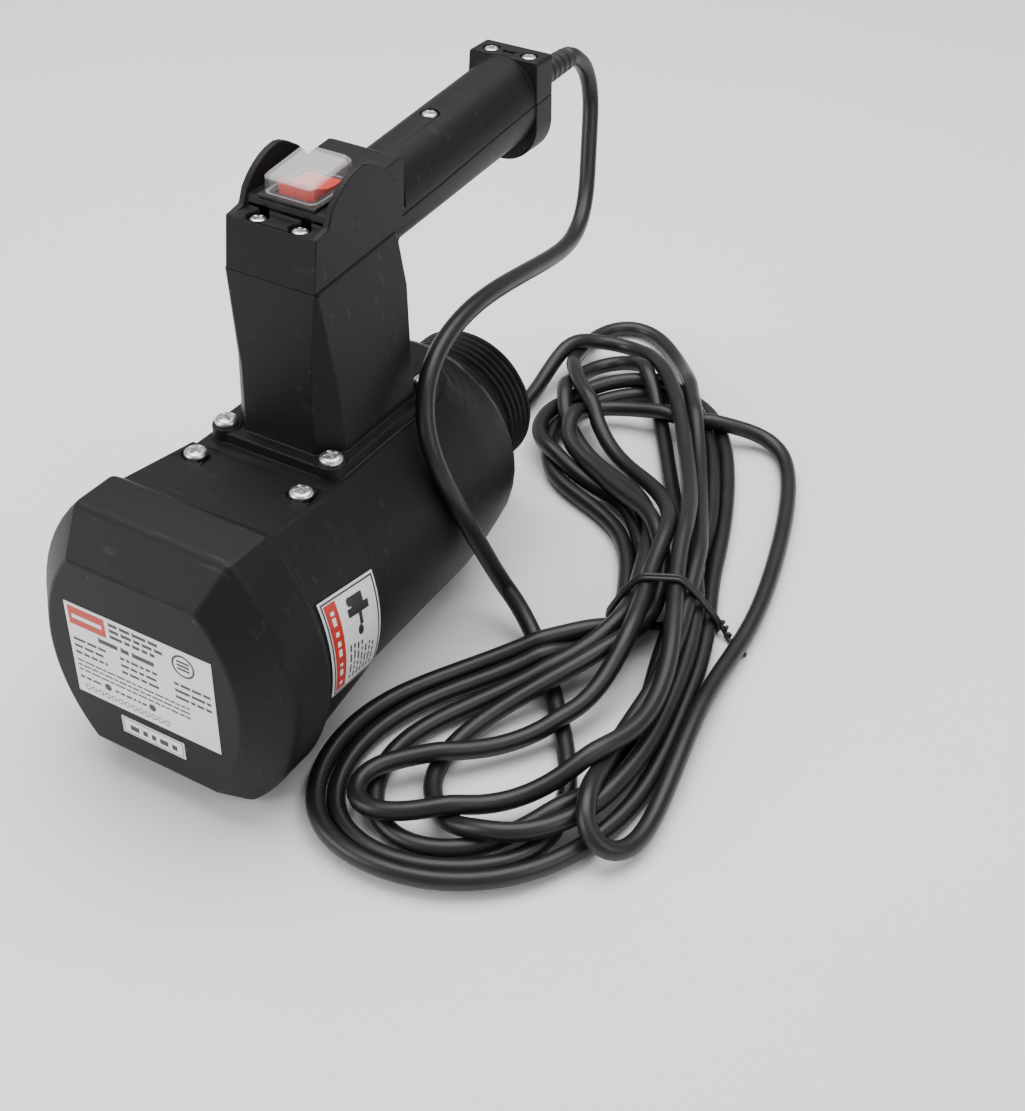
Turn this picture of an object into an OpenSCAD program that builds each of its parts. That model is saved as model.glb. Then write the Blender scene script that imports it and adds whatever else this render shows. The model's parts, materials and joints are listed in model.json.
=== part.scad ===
// Hand-held drive motor of a drum barrel pump, lying on its side with its lead hanked beside it.
// Everything but the lead is drawn about the motor's axis, which runs along +Y from the cap's flat
// face at y = 0, and is then laid down on its bumper band and its far shoulder.

/* [Cap] */
// Half height of the cap's flat face
face_half_h = 45; // [40:1:52]
// Half width of the straight top and bottom edges of the flat face
face_flat = 30; // [24:1:34]
// Half width of the flat face
face_half_w = 46; // [42:1:52]
// Half height of the bumper band
band_half_h = 60; // [56:0.5:64]
// Half width of the band's straight top and bottom
band_flat = 36; // [30:1:40]
// Half width of the bumper band
band_half_w = 61; // [57:0.5:65]
// Where the bumper band starts, from the face
band_start = 15.5; // [12:0.5:20]
// Where the bumper band ends
band_end = 35.5; // [30:0.5:40]
// Wall of the cap
cap_wall = 3; // [2:0.5:4]
// Where the cap meets the housing
seam_y = 80; // [76:1:84]
// Half height of the cap at the seam
seam_half_h = 51; // [48:0.5:54]
// Half width of the cap at the seam
seam_half_w = 55; // [52:0.5:58]

/* [Housing] */
// Half height of the housing behind the seam
barrel_half_h = 50; // [48:0.5:52]
// Half width of the housing behind the seam
barrel_half_w = 54; // [52:0.5:56]
// Radius of the round far shoulder
shoulder_r = 51.5; // [49:0.5:54]
// Where the shoulder starts to round over
shoulder_y = 192; // [186:1:196]
// Far end of the housing
housing_end = 199; // [196:1:204]

/* [Neck] */
// Crest radius of the neck's thread
neck_crest_r = 34.5; // [33:0.5:36]
// Depth of the thread
thread_depth = 1.9; // [1:0.1:2.5]
// Pitch of the thread
thread_pitch = 4; // [3:0.5:5]
// Number of thread crests
thread_crests = 5; // [4:1:7]
// Open end of the neck
neck_end = 239.5; // [230:0.5:245]
// Bore of the neck round the coupling
neck_bore_r = 28; // [25:0.5:30]
// Radius of the register that the pump tube seats in
register_r = 29.5; // [28:0.5:31]
// Depth of the register
register_depth = 6; // [4:0.5:8]

/* [Tower and grip] */
// Half width of the tower's foot
foot_half_w = 31; // [28:0.5:33]
// Front edge of the foot
foot_front = 86; // [82:1:90]
// Rear edge of the foot
foot_rear = 163; // [158:1:168]
// Wall of the handle shells
shell_wall = 2.6; // [2:0.2:4]
// Half width of the upper shell at the switch
guard_half_w = 20; // [18:0.5:22]
// Thickness of each switch guard
guard_wall = 3; // [2:0.5:4]
// Half width of the block behind the switch
rear_block_half_w = 16.5; // [14:0.5:19]
// Height of the grip's centre at its near end
grip_z = 130.5; // [126:0.5:136]
// Rise of the grip per unit of length
grip_slope = 0.072; // [0:0.002:0.12]
// Half width of the grip, near end and far end
grip_half_w = [16.5, 17.2]; // [14:0.1:20]
// Half height of the grip, near end and far end
grip_half_h = [18.8, 20.2]; // [16:0.1:23]
// Front face of the hand stop
stop_front = 263; // [255:1:268]
// Rear face of the hand stop
stop_rear = 277; // [270:1:284]

/* [Switch] */
// Full travel of the rocker, degrees
rocker_travel = 24; // [16:1:30]
// Height of the deck that the switch sits in
deck_z = 151.6; // [150:0.2:154]

/* [Rotor] */
// Radius of the armature core
armature_r = 24.5; // [22:0.5:26]
// Radius of the stator core
stator_r = 44; // [42:0.5:45]
// Length of both lamination stacks
stack_len = 50; // [40:1:60]
// Number of armature slots
slots = 12; // [8:1:16]
// Number of fan blades
fan_blades = 9; // [7:1:13]
// Radius of the socket in the drive coupling
socket_r = 6.5; // [5:0.5:8]

/* [Lead] */
// Diameter of the mains lead
lead_d = 8; // [7:0.1:9]
// Height of the hanked lead on the table
hank_h = 25; // [16:1:32]

/* [Hidden] */
$fn = 64;
tiny = 0.05;

// Resting pose: the band's rear edge and the shoulder both touch the table.
rest_tilt = atan2(band_half_h - shoulder_r, shoulder_y - band_end);
axis_z = band_half_h * cos(rest_tilt) + band_end * sin(rest_tilt);
// From the cap's face back to the middle of the object's length, where the origin is.
origin_y = 165.16;

// Cap and housing outlines: [y, half height, half width of the flats, half width].
cap_outline = [
  [0, face_half_h, face_flat, face_half_w],
  [band_start - 2.5, band_half_h - 1.8, band_flat - 1, band_half_w - 2],
  [band_start - 1, band_half_h - 0.6, band_flat - 0.4, band_half_w - 0.7],
  [band_start + 1.5, band_half_h, band_flat, band_half_w],
  [band_end, band_half_h, band_flat, band_half_w],
  [band_end + 4, band_half_h - 3.6, band_flat - 1, band_half_w - 3],
  [seam_y, seam_half_h, band_flat - 2, seam_half_w]
];
housing_outline = [
  [seam_y, barrel_half_h, 33, barrel_half_w],
  [164, barrel_half_h, 32, barrel_half_w],
  [176, barrel_half_h + 0.2, 26, barrel_half_w - 0.4],
  [186, barrel_half_h + 0.8, 14, barrel_half_w - 1.5],
  [shoulder_y, shoulder_r, 3, shoulder_r],
  [shoulder_y + 3, shoulder_r - 1.2, 3, shoulder_r - 1.2],
  [shoulder_y + 5.5, shoulder_r - 3.6, 3, shoulder_r - 3.6],
  [housing_end, shoulder_r - 6.5, 3, shoulder_r - 6.5]
];
arc_steps = 18;

// Top and bottom of the side label round the wall, at its front and rear edges, degrees.
side_label_top = [22, 18];
side_label_bottom = [-10, -21];

// Places of the screws: [x, y].
cap_screw_at = [for (x = [-25.5, 25.5]) [x, 71]];
stem_screw_at = [for (x = [-25.5, 25.5], y = [91, 158.5]) [x, y]];
front_screw_at = [for (x = [-9.5, 9.5]) [x, 101]];
stop_screw_at = [for (x = [-9.4, 9.4]) [x, 269.5]];
grip_screw_y = 204;
cap_screw_z = seam_half_h + 1;
front_screw_seat = 144.2;
grip_screw_seat = 151.6;
stop_screw_seat = 156.8;
foot_top = 55.5;
gasket_z = [barrel_half_h, barrel_half_h + 1];

// Tower outline: [z, front y, rear y, half width, front corner chamfer]; the rear corners are
// chamfered rather less.
tower_outline = [
  [gasket_z[1], 91.2, 157.6, 26.6, 9.5],
  [62, 92, 157.4, 25.6, 9],
  [85, 92.4, 156.8, 24, 7.5],
  [105, 92.8, 155.6, 22.5, 4],
  [126, 93, 150, 21.2, 0.8],
  [134, 93.6, 147.4, 20.6, 0.6]
];

// Parting line between the two handle shells: [y, z].
parting = [[80, 126], [93, 126], [120, 128], [150, 130], [184, 133], [231, 138], [300, 143.6]];
guard_profile = [
  [97, 140], [97, 147], [103.5, 148.4], [106, 154], [109.5, 157.6], [113, 160.2], [117, 162.4],
  [121, 163.8], [126, 164.6], [129.5, 164], [133, 162.4], [139, 158.8], [146, 151.4], [150, 140]
];
deck_profile = [
  [93, 120], [93, 126], [95.8, 147], [104.6, 147], [106, deck_z], [146.5, deck_z], [149.5, 150],
  [152, 146], [152, 120]
];
rear_block_profile = [
  [140, 145], [141.5, 153.4], [143, 154.6], [156, 155.8], [159.4, 154.4], [160, 120], [140, 120]
];

// Rotor stations along the axis.
stack_start = 84;
stack_end = stack_start + stack_len;
rear_bearing_y = [22, 29];
front_bearing_y = [190, 200];
commutator_y = [40, 60];
fan_y = [150, 164];
coupling_y = [208, 233];
shaft_r = 6;
journal_r = 4;
running = 0.05;
brush_y = [45, 55];

// Rocker and boot.
rocker_pivot = [120.5, 150.8];
pin_r = 1.4;
boot_y = [107, 134];
boot_half_w = 11.7;

// Route of the lead from the strain relief to the hank, and from the hank to the plug: the floor is
// z = 0 and y runs from the cap's face.
lead_route = [
  [0, 322, 184.1], [0, 332.4, 183.6], [0, 342, 182], [0.4, 350, 176.5], [1.4, 354, 168],
  [3, 352.5, 157], [6, 345, 145], [9.5, 337, 133], [13.5, 330, 121.5], [17.5, 320, 112],
  [21, 305, 108], [24, 288, 110.5], [26, 266, 116], [28, 240, 123], [29, 213, 129], [30, 187, 132],
  [31.5, 162, 129], [34.5, 146, 121], [40, 136, 109], [48, 131, 96], [55, 134, 79],
  [58.5, 140, 62], [61, 147, 45], [64, 153, 28], [70, 157, 14], [80, 154, 6], [94, 145, 4.6]
];
tail_route = [
  [14, 292, 4.6], [2, 271, 4.4], [-18, 251, 4.4], [-42, 241, 4.4], [-66, 235, 4.6],
  [-82, 222, 7], [-88, 204, 12], [-88, 190, 13]
];
hank_front_outline = [
  [62, 86], [51.5, 52], [56, 20], [86, 4], [126, 4], [160, 16], [182, 50], [180, 108], [157, 172],
  [148.6, 192.6], [117.4, 179.4], [96, 138]
];
hank_back_outline = [
  [117.4, 179.4], [148.6, 192.6], [165, 188], [166, 236], [148, 306], [122, 344], [84, 370],
  [46, 396], [10, 412], [-4, 396], [-4, 356], [8, 292], [34, 262]
];
tie_at = [133, 186];
tie_turn = 23;
plug_y = [168, 130];
plug_x = -88;
plug_z = 13;

black = [0.06, 0.06, 0.065];
steel = [0.72, 0.72, 0.72];
zinc = [0.8, 0.8, 0.78];
copper = [0.72, 0.4, 0.2];
brass = [0.8, 0.65, 0.3];

// ---------- shared shapes ----------

// Lays the motor down in its resting pose.
module laid()
  translate([0, -origin_y, axis_z])
    rotate([-rest_tilt, 0, 0])
      children();

// Places floor-based shapes whose y runs from the cap's face.
module on_floor()
  translate([0, -origin_y, 0])
    children();

// Closed skin over rings of equally many points, clockwise as seen looking from first to last.
module loft(rings) {
  n = len(rings[0]);
  last = len(rings) - 1;
  first_face = [for (i = [0 : n - 1]) i];
  last_face = [for (i = [n - 1 : -1 : 0]) last * n + i];
  sides = [
    for (j = [0 : last - 1], i = [0 : n - 1])
      [j * n + (i + 1) % n, j * n + i, (j + 1) * n + i, (j + 1) * n + (i + 1) % n]
  ];
  polyhedron([for (ring = rings) each ring], concat([first_face], sides, [last_face]));
}

// Section with flat top and bottom and arched sides at station y.
function section(y, h, flat, w) =
  let (r = (h * h + (w - flat) * (w - flat)) / (2 * (w - flat)), a = asin(h / r))
  [
    for (s = [1, -1], k = [0 : arc_steps])
      let (t = s * a * (1 - 2 * k / arc_steps))
      [s * (w - r + r * cos(t)), y, r * sin(t)]
  ];

// The same section drawn in by a wall.
function inset(row, wall, y) =
  section(y, row[1] - wall, row[2] - wall / 2, row[3] - wall);

// Ring of the tower at height z, drawn in by a wall.
function tower_ring(row, wall) =
  let (w = row[3] - wall, f = row[1] + wall, r = row[2] - wall, c = row[4], b = 2 + 0.6 * c)
  [
    [w - c, f, row[0]], [w, f + c, row[0]], [w, r - b, row[0]], [w - b, r, row[0]],
    [b - w, r, row[0]], [-w, r - b, row[0]], [-w, f + c, row[0]], [c - w, f, row[0]]
  ];

// Oval ring of the grip at station y, drawn in by a wall.
function grip_centre(y) = grip_z + grip_slope * (y - 150);
function grip_ring(y, wall) =
  let (
    t = (y - 150) / 118,
    a = grip_half_w[0] + t * (grip_half_w[1] - grip_half_w[0]) - wall,
    b = grip_half_h[0] + t * (grip_half_h[1] - grip_half_h[0]) - wall
  )
  [for (k = [0 : 47]) [a * sin(7.5 * k), y, grip_centre(y) + b * cos(7.5 * k)]];

// Smooth curve through a list of points, with steps pieces per span.
function spline_point(a, b, c, d, t) =
  0.5 * (2 * b + (c - a) * t + (2 * a - 5 * b + 4 * c - d) * t * t
    + (3 * b - a - 3 * c + d) * t * t * t);
function smooth(p, steps) =
  let (n = len(p) - 1)
  [
    for (i = [0 : n - 1], k = [0 : steps - 1])
      spline_point(p[max(i - 1, 0)], p[i], p[i + 1], p[min(i + 2, n)], k / steps),
    p[n]
  ];

// Tube swept along points, its rings carried along without twist.
function unit(v) = v / norm(v);
function headings(p) =
  [for (i = [0 : len(p) - 1]) unit(p[min(i + 1, len(p) - 1)] - p[max(i - 1, 0)])];
function carried(t, u, i = 0) =
  i == len(t) ? [] :
  let (v = unit(u - t[i] * (u * t[i])))
  concat([v], carried(t, v, i + 1));
module tube(p, r, sides, start = [1, 0, 0]) {
  t = headings(p);
  u = carried(t, start);
  loft([
    for (i = [0 : len(p) - 1])
      [
        for (k = [0 : sides - 1])
          p[i] + r * (cos(360 * k / sides) * u[i] + sin(360 * k / sides) * cross(t[i], u[i]))
      ]
  ]);
}

// Solid of revolution about the motor's axis: points are [radius, y].
module turned(points)
  rotate([-90, 0, 0])
    rotate_extrude()
      polygon(points);

// Round bar along the motor's axis.
module bar(r, y0, y1)
  translate([0, y0, 0])
    rotate([-90, 0, 0])
      cylinder(r = r, h = y1 - y0);

// Box from one corner to the other.
module block(low, high)
  translate(low)
    cube(high - low);

// Outline in the Y-Z plane drawn out along X about the middle.
module side_plate(points, width)
  rotate([90, 0, 90])
    linear_extrude(width, center = true)
      polygon(points);

// Pan head screw with a cross recess: its seat at z = 0, its head above and its shank below.
module pan_screw(head_r, head_h, shank_r, shank_len) {
  difference() {
    rotate_extrude()
      polygon([
        [0, 0], [head_r, 0], [head_r, head_h * 0.45], [head_r * 0.88, head_h * 0.8],
        [head_r * 0.55, head_h], [0, head_h]
      ]);
    for (turn = [0, 90])
      rotate(turn + 20)
        translate([0, 0, head_h])
          cube([head_r * 1.05, head_r * 0.28, head_h * 1.1], center = true);
  }
  translate([0, 0, -shank_len])
    cylinder(r = shank_r, h = shank_len + tiny);
}

// ---------- motor shell ----------

module cap_holes()
  for (at = cap_screw_at, side = [0, 180])
    rotate([0, side, 0])
      translate([at[0], at[1], 0]) {
        translate([0, 0, 40])
          cylinder(r = 2.2, h = 20);
        translate([0, 0, cap_screw_z])
          cylinder(r = 5.3, h = 10);
      }

module motor_cap()
  color(black)
    laid()
      difference() {
        loft([for (row = cap_outline) section(row[0], row[1], row[2], row[3])]);
        loft(concat(
          [inset(cap_outline[0], cap_wall, cap_wall)],
          [for (i = [2 : 5]) inset(cap_outline[i], cap_wall, cap_outline[i][0] + 1)],
          [inset(cap_outline[6], cap_wall, seam_y + 1)]
        ));
        cap_holes();
        for (x = [-20 : 10 : 20])
          block([x - 1.5, 44, -70], [x + 1.5, 64, -45]);
      }

module cap_screws()
  color(zinc)
    laid()
      for (at = cap_screw_at, side = [0, 180])
        rotate([0, side, 0])
          translate([at[0], at[1], cap_screw_z])
            pan_screw(4.8, 2.8, 1.95, 14);

module motor_housing()
  color(black)
    laid()
      difference() {
        loft([for (row = housing_outline) section(row[0], row[1], row[2], row[3])]);
        turned([
          [0, seam_y - 1], [stator_r + 0.5, seam_y - 1], [stator_r + 0.5, stack_start - 3],
          [stator_r, stack_start - 3], [stator_r, stack_end + 3], [45, stack_end + 8],
          [45, 189.9], [36, 190], [36, housing_end + 1], [0, housing_end + 1]
        ]);
        translate([0, 125, 40])
          cylinder(r = 6, h = 20);
        for (at = stem_screw_at)
          translate([at[0], at[1], 41.5])
            cylinder(r = 2, h = 20);
        for (turn = [33, 147, 213, 327])
          rotate([0, turn, 0]) {
            translate([0, 194, 42])
              rotate([-90, 0, 0])
                cylinder(r = 5.5, h = 10);
            block([-5.5, 194, 42], [5.5, 204, 60]);
            translate([0, 180, 42])
              rotate([-90, 0, 0])
                cylinder(r = 2.2, h = 20);
          }
      }

module threaded_flange()
  color(black)
    laid()
      difference() {
        turned(concat(
          [
            [8, 184], [44.9, 184], [44.9, 189.9], [35.9, 189.9], [35.9, housing_end + 0.6],
            [neck_crest_r - thread_depth, housing_end + 2.5]
          ],
          [
            for (i = [0 : thread_crests - 1], step = [0 : 3])
              let (y = neck_end - (thread_crests - i) * thread_pitch)
              [
                neck_crest_r - (step == 0 || step == 3 ? thread_depth : 0),
                y + thread_pitch * [0.05, 0.35, 0.65, 0.95][step]
              ]
          ],
          [
            [neck_crest_r - thread_depth, neck_end], [register_r, neck_end],
            [register_r, neck_end - register_depth], [neck_bore_r, neck_end - register_depth],
            [neck_bore_r, 204], [8, 204]
          ]
        ));
        bar(16, 189.95, 200);
        for (turn = [33, 147, 213, 327])
          rotate([0, turn, 0])
            translate([0, 183, 42])
              rotate([-90, 0, 0])
                cylinder(r = 1.95, h = 10);
      }

module shoulder_screws()
  color(zinc)
    laid()
      for (turn = [33, 147, 213, 327])
        rotate([0, turn, 0])
          translate([0, 194, 42])
            rotate([-90, 0, 0])
              pan_screw(4.2, 2.6, 1.9, 10);

// ---------- labels ----------

module rating_label()
  color([0.9, 0.9, 0.9])
    laid()
      block([-35, -0.2, -21.5], [35, 0, 24]);

module serial_label()
  color([0.9, 0.9, 0.9])
    laid()
      block([-14.5, -0.2, -34], [16.5, 0, -25.5]);

// Point of the cap's side wall at a row of its outline, turned up from the side and lifted off it.
function wall_point(row, turn, lift) =
  let (spread = row[3] - row[2], r = (row[1] * row[1] + spread * spread) / (2 * spread))
  [row[3] - r + (r + lift) * cos(turn), row[0], (r + lift) * sin(turn)];

// Curved label on the cap's right side: one four-cornered ring at each step round the wall.
module side_label()
  color([0.9, 0.9, 0.9])
    laid() {
      front = 0.96 * cap_outline[5] + 0.04 * cap_outline[6];
      rear = 0.06 * cap_outline[5] + 0.94 * cap_outline[6];
      steps = 10;
      loft([
        for (k = [0 : steps])
          let (turn = side_label_top + (side_label_bottom - side_label_top) * k / steps)
          [
            wall_point(rear, turn[1], 0.62), wall_point(front, turn[0], 0.62),
            wall_point(front, turn[0], 0.32), wall_point(rear, turn[1], 0.32)
          ]
      ]);
    }

// ---------- handle ----------

module foot_outline(grow = 0)
  translate([0, (foot_front + foot_rear) / 2])
    offset(r = 5 + grow)
      square([2 * foot_half_w - 10, foot_rear - foot_front - 10], center = true);

module stem_gasket()
  color([0.1, 0.1, 0.1])
    laid()
      translate([0, 0, gasket_z[0]])
        linear_extrude(gasket_z[1] - gasket_z[0])
          difference() {
            foot_outline(0.6);
            translate([0, 125])
              square([36, 44], center = true);
            for (at = stem_screw_at)
              translate(at)
                circle(r = 2.3);
          }

module stem_screws()
  color(zinc)
    laid()
      for (at = stem_screw_at)
        translate([at[0], at[1], foot_top + 1])
          pan_screw(4.1, 2.5, 1.95, 14);

// Columns inside the shells that the handle screws run down.
module handle_columns() {
  for (at = front_screw_at) {
    translate([at[0], at[1], 108])
      cylinder(r = 4.2, h = 40);
    block([at[0] - 1.5, 92, 108], [at[0] + 1.5, at[1], 148]);
  }
  translate([0, grip_screw_y, 108])
    cylinder(r = 4.2, h = 50);
}

module handle_holes() {
  for (at = front_screw_at) {
    translate([at[0], at[1], 116])
      cylinder(r = 1.55, h = 40);
    translate([at[0], at[1], front_screw_seat])
      cylinder(r = 4.4, h = 20);
  }
  translate([0, grip_screw_y, 124])
    cylinder(r = 1.55, h = 40);
  translate([0, grip_screw_y, grip_screw_seat])
    cylinder(r = 4, h = 20);
  for (at = stop_screw_at) {
    translate([at[0], at[1], 134])
      cylinder(r = 1.55, h = 40);
    translate([at[0], at[1], stop_screw_seat])
      cylinder(r = 3.9, h = 20);
  }
}

// Hand stop at the end of the grip.
module hand_stop()
  translate([0, stop_rear, 0])
    rotate([90, 0, 0])
      linear_extrude(stop_rear - stop_front)
        union() {
          translate([0, 130])
            circle(r = 18);
          offset(r = 2)
            polygon([[-16, 130], [16, 130], [15, 157], [-15, 157]]);
        }

module handle_outer() {
  loft([for (row = tower_outline) tower_ring(row, 0)]);
  loft([for (y = [146, 210, 268]) grip_ring(y, 0)]);
  hand_stop();
  side_plate([[145, 108], [156.5, 110], [158.5, 116], [163.5, 121], [174, 124], [174, 130],
    [145, 130]], 26);
}

module handle_inner() {
  loft(concat(
    [for (row = tower_outline) tower_ring(row, shell_wall)],
    [[for (p = tower_ring(tower_outline[5], shell_wall)) p + [0, 0, 5]]]
  ));
  loft([for (y = [140, 210, 262]) grip_ring(y, shell_wall)]);
}

module cord_way()
  translate([0, 0, 139.5])
    bar(5.6, 255, stop_rear + 1);

module handle_lower()
  color(black)
    laid()
      difference() {
        union() {
          intersection() {
            handle_outer();
            side_plate(concat([[80, 40]], parting, [[300, 40]]), 90);
          }
          translate([0, 0, gasket_z[1]])
            linear_extrude(foot_top - gasket_z[1])
              foot_outline();
          for (at = stem_screw_at)
            translate([at[0], at[1], gasket_z[1]])
              cylinder(r = 6, h = foot_top + 1 - gasket_z[1]);
        }
        difference() {
          union() {
            handle_inner();
            block([-19, 100, gasket_z[1] - 1], [19, 150, 60]);
          }
          handle_columns();
        }
        handle_holes();
        cord_way();
        for (at = stem_screw_at)
          translate([at[0], at[1], 45])
            cylinder(r = 2.1, h = 20);
      }

module handle_upper()
  color(black)
    laid()
      difference() {
        intersection() {
          union() {
            side_plate(deck_profile, 2 * guard_half_w + 1);
            side_plate(rear_block_profile, 2 * rear_block_half_w);
            loft([for (y = [146, 210, 268]) grip_ring(y, 0)]);
            hand_stop();
            for (side = [-1, 1])
              translate([side * (guard_half_w + 0.5 - guard_wall / 2), 0, 0])
                side_plate(guard_profile, guard_wall);
          }
          side_plate(concat([[80, 190]], parting, [[300, 190]]), 90);
        }
        difference() {
          union() {
            loft([for (y = [140, 210, 262]) grip_ring(y, shell_wall)]);
            block([-17, 97.5, 120], [17, 105.5, front_screw_seat - 2.6]);
            block([-17, 105, 120], [17, 150, deck_z - 3]);
          }
          handle_columns();
        }
        block([-10.6, 108.3, 120], [10.6, 132.7, 160]);
        handle_holes();
        cord_way();
      }

module handle_screws()
  color(zinc)
    laid() {
      for (at = front_screw_at)
        translate([at[0], at[1], front_screw_seat])
          pan_screw(3.4, 2.2, 1.5, 26);
      translate([0, grip_screw_y, grip_screw_seat])
        pan_screw(3.2, 2.2, 1.5, 26);
      for (at = stop_screw_at)
        translate([at[0], at[1], stop_screw_seat])
          pan_screw(3, 2.2, 1.5, 20);
    }

// ---------- switch ----------

module switch_body()
  color([0.15, 0.15, 0.15])
    laid()
      difference() {
        block([-10.4, 108.5, 132], [10.4, 132.5, 153.2]);
        block([-8.6, 109.7, 144], [8.6, 131.3, 160]);
        rocker_pin(9.8, pin_r + running);
      }

module switch_bezel()
  color([0.1, 0.1, 0.1])
    laid()
      difference() {
        block([-13, 105.8, deck_z], [13, 135.2, 153.2]);
        block([-10.6, 108.3, 150], [10.6, 132.7, 160]);
      }

// Clear boot: a shallow box with a sloping top, open below.
function boot_ring(grow, base, front_z, rear_z, shift) =
  let (w = boot_half_w - grow, f = boot_y[0] + grow + shift, r = boot_y[1] - grow, c = 2)
  [
    for (p = [
      [w - c, f], [w, f + c], [w, r - c], [w - c, r],
      [c - w, r], [-w, r - c], [-w, f + c], [c - w, f]
    ])
      [p[0], p[1], base + front_z + (rear_z - front_z) * (p[1] - boot_y[0]) / 27]
  ];
module switch_boot()
  color([0.9, 0.9, 0.9, 0.35])
    laid()
      difference() {
        loft([
          boot_ring(0, 153.2, 0, 0, 0), boot_ring(0, 153.2, 5.8, 8.6, 0),
          boot_ring(1.4, 153.2, 7.4, 10.4, 0)
        ]);
        loft([
          boot_ring(1.1, 153, -1, -1, 0), boot_ring(1.1, 153.2, 5.4, 8.2, 0),
          boot_ring(2.2, 153.2, 6.3, 9.3, 0)
        ]);
      }

// Rocker drawn level about its pivot, then tipped to the off side, on a pin through both sides.
module rocker_pin(half_len, r)
  translate([0, rocker_pivot[0], rocker_pivot[1]])
    rotate([0, 90, 0])
      cylinder(r = r, h = 2 * half_len, center = true);

module switch_rocker()
  color([0.85, 0.12, 0.08])
    laid() {
      rocker_pin(9.6, pin_r);
      translate([0, rocker_pivot[0], rocker_pivot[1]])
        rotate([-rocker_travel / 2, 0, 0])
          side_plate([
            [-9.2, 5.2], [-4.6, 4], [0, 3.5], [4.6, 4], [9.2, 5.2], [8.4, -1], [3, -4.5],
            [-3, -4.5], [-8.4, -1]
          ], 16);
    }

module switch_terminals()
  color(brass)
    laid()
      for (y = [112, 120.5, 129], x = [-5, 5])
        block([x - 3.2, y - 0.4, 124], [x + 3.2, y + 0.4, 132]);

module internal_leads()
  color([0.2, 0.2, 0.2])
    laid()
      for (x = [-5, 5]) {
        tube(smooth([
          [x, 112, 124], [x, 112, 112], [x * 0.9, 116, 88], [x * 0.6, 124, 66], [x * 0.5, 125, 48]
        ], 3), 1.4, 8);
        tube(smooth([
          [x, 129, 124], [x, 131, 118], [x, 140, 117], [x * 1.4, 156, 122], [x * 1.6, 180, 126],
          [x * 1.6, 204, 128], [x * 1.2, 228, 131], [x * 0.6, 244, 134]
        ], 3), 1.4, 8);
      }

module cord_clamp()
  color([0.12, 0.12, 0.12])
    laid()
      difference() {
        block([-9, 246, 127], [9, 254, 149]);
        translate([0, 0, 139.5])
          bar(4.2, 240, 260);
      }

module strain_relief()
  color(black)
    laid()
      translate([0, 0, 139.5])
        turned([
          [0, 245], [4.1, 245], [4.1, 257], [5.5, 257], [5.5, stop_rear], [7.2, stop_rear],
          [7.2, stop_rear + 2], [6.6, 284], [5, 325.4], [0, 325.4]
        ]);

// ---------- inside the motor ----------

module bearing_bracket()
  color([0.16, 0.14, 0.12])
    laid()
      difference() {
        union() {
          difference() {
            loft([for (y = [62, 78]) section(y, 47, 31, 51)]);
            bar(38, 60, 80);
          }
          for (turn = [0, 90, 180, 270])
            rotate([0, turn, 0]) {
              block([-8, 20, 10], [8, 32, 45]);
              block([-8, 20, 38], [8, 64, 45]);
            }
          bar(15, 20, 32);
        }
        bar(7, 15, 40);
        bar(11, rear_bearing_y[0], 40);
        cap_bores();
        for (side = [-1, 1])
          block([side * 40 - 12, brush_y[0] - 1.5, -5.5], [side * 40 + 12, brush_y[1] + 1.5, 5.5]);
      }

module cap_bores()
  for (at = cap_screw_at, side = [0, 180])
    rotate([0, side, 0])
      translate([at[0], at[1], 36])
        cylinder(r = 1.95, h = 20);

module rear_bearing()
  color(steel)
    laid()
      turned([
        [journal_r + running, rear_bearing_y[0]], [11, rear_bearing_y[0]],
        [11, rear_bearing_y[1]], [journal_r + running, rear_bearing_y[1]]
      ]);

module front_bearing()
  color(steel)
    laid()
      turned([
        [shaft_r + running, front_bearing_y[0]], [16, front_bearing_y[0]],
        [16, front_bearing_y[1]], [shaft_r + running, front_bearing_y[1]]
      ]);

module stator_core()
  color([0.35, 0.35, 0.37])
    laid()
      translate([0, stack_start, 0])
        rotate([-90, 0, 0])
          linear_extrude(stack_len)
            difference() {
              circle(r = stator_r - 0.02);
              circle(r = armature_r + 0.6);
              for (side = [-1, 1])
                intersection() {
                  circle(r = 36.5);
                  translate([side * 32, 0])
                    square([20, 60], center = true);
                }
              for (turn = [45, 225])
                rotate(turn)
                  translate([40, 0])
                    circle(r = 2.2);
            }

module stator_screws()
  color(zinc)
    laid()
      for (turn = [45, 225])
        rotate([0, turn, 0])
          translate([40, 0, 0]) {
            bar(2, stack_start - 2, stack_end + 2);
            bar(3.6, stack_start - 4, stack_start - tiny);
            bar(3.6, stack_end + tiny, stack_end + 3);
          }

// Two saddle coils: straight sides in the windows and curved end turns.
module field_coils()
  color(copper)
    laid()
      for (turn = [0, 180])
        rotate([0, turn, 0]) {
          for (side = [-1, 1])
            translate([side * 29.5, 0, 6.5])
              block([-3.2, stack_start - 7, -4.2], [3.2, stack_end + 7, 4.2]);
          for (y = [stack_start - 8, stack_end + 1])
            translate([0, y, 0])
              rotate([-90, 0, 0])
                linear_extrude(7)
                  intersection() {
                    difference() {
                      circle(r = 36);
                      circle(r = 27.5);
                    }
                    translate([0, -23.3])
                      square([80, 40], center = true);
                  }
        }

module brush_holders()
  color(brass)
    laid()
      for (side = [-1, 1])
        difference() {
          block([side * 30.5 - 12.5, brush_y[0] - 1.4, -5.4],
            [side * 30.5 + 12.5, brush_y[1] + 1.4, 5.4]);
          translate([side * 29.5, 0, 0])
            block([-12.5, brush_y[0] - 0.2, -4.2], [12.5, brush_y[1] + 0.2, 4.2]);
        }

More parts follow.
